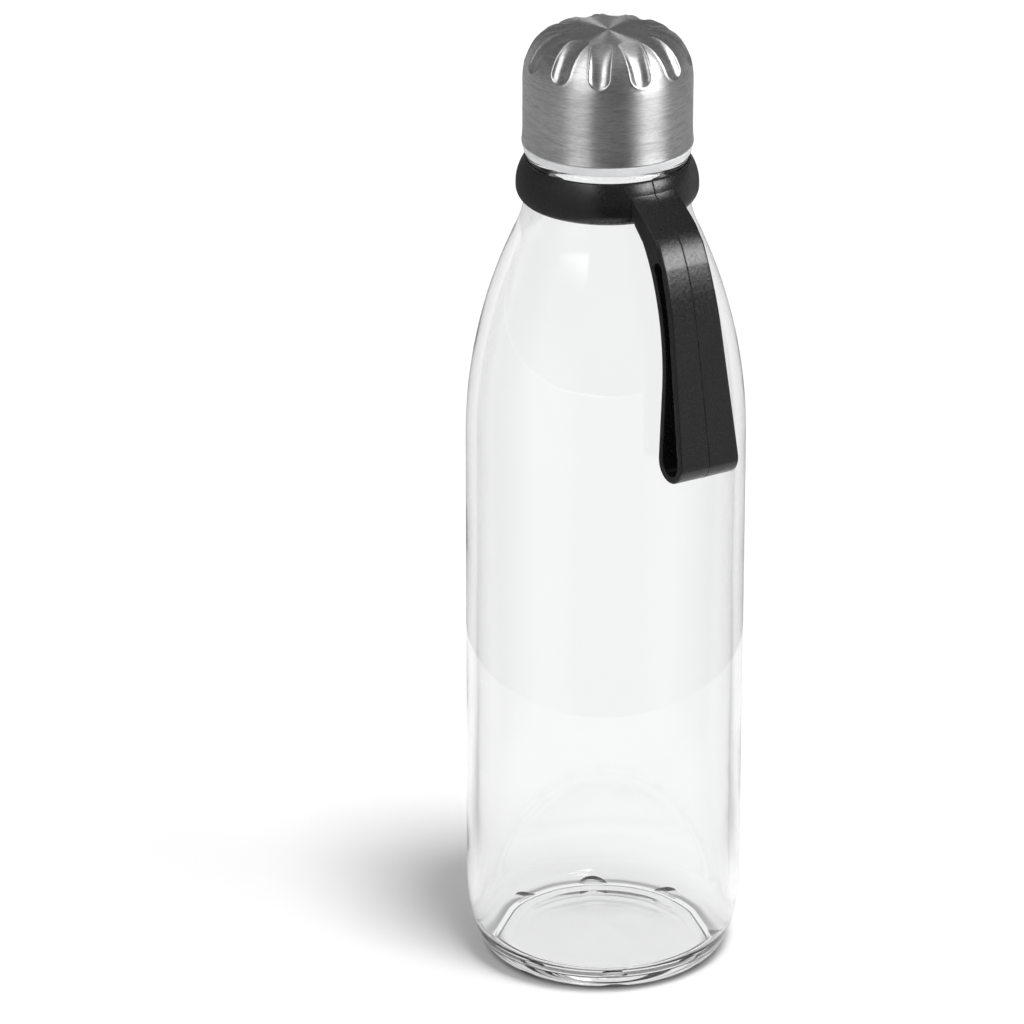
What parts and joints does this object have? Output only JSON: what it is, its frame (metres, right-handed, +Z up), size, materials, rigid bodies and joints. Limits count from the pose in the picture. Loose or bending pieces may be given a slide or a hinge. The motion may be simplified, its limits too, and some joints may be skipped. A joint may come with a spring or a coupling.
{
  "type": "glass water bottle",
  "caption": "Clear glass drinking bottle with a long rounded shoulder, a domed metal screw cap and a soft neck ring with a hanging finger loop.",
  "frame": {"origin": "on the bottle's axis, at the plane of the foot it stands on", "axes": "+Z up along the bottle's axis; the finger loop hangs on the -Y side"},
  "size_m": [0.07, 0.0831, 0.2462],
  "materials": {
    "bottle_glass": "clear, polished",
    "cap_steel": "brushed round the side, spin-brushed on top",
    "cap_liner": "satin, slightly translucent",
    "cap_gasket": "matt",
    "carry_rubber": "satin with a fine grain"
  },
  "bodies": {
    "bottle": {"glass_bottle": "bottle_glass"},
    "gasket": {"cap_seal": "cap_gasket"},
    "cap": {"cap_shell": "cap_steel", "cap_insert": "cap_liner"},
    "ring": {"carry_ring": "carry_rubber"},
    "loop": {"carry_loop": "carry_rubber"}
  },
  "joints": [
    {"name": "cap_lift", "type": "slide", "parent": "bottle", "child": "gasket", "axis": [0, 0, 1], "range_m": [0, 0.0212]},
    {"name": "cap_turn", "type": "hinge", "parent": "gasket", "child": "cap", "pos_m": [0, 0, 0.225], "axis": [0, 0, 1], "range_deg": [0, 1800]},
    {"name": "ring_turn", "type": "hinge", "parent": "bottle", "child": "ring", "pos_m": [0, 0, 0.209], "axis": [0, 0, 1], "continuous": true},
    {"name": "loop_swing", "type": "hinge", "parent": "ring", "child": "loop", "pos_m": [0, -0.0252, 0.2044], "axis": [-1, 0, 0], "range_deg": [0, 110], "stiffness_Nm_per_rad": 0.003}
  ],
  "couplings": [
    {"joint": "cap_lift", "follows": "cap_turn", "m_per_rad": 0.00066845}
  ]
}
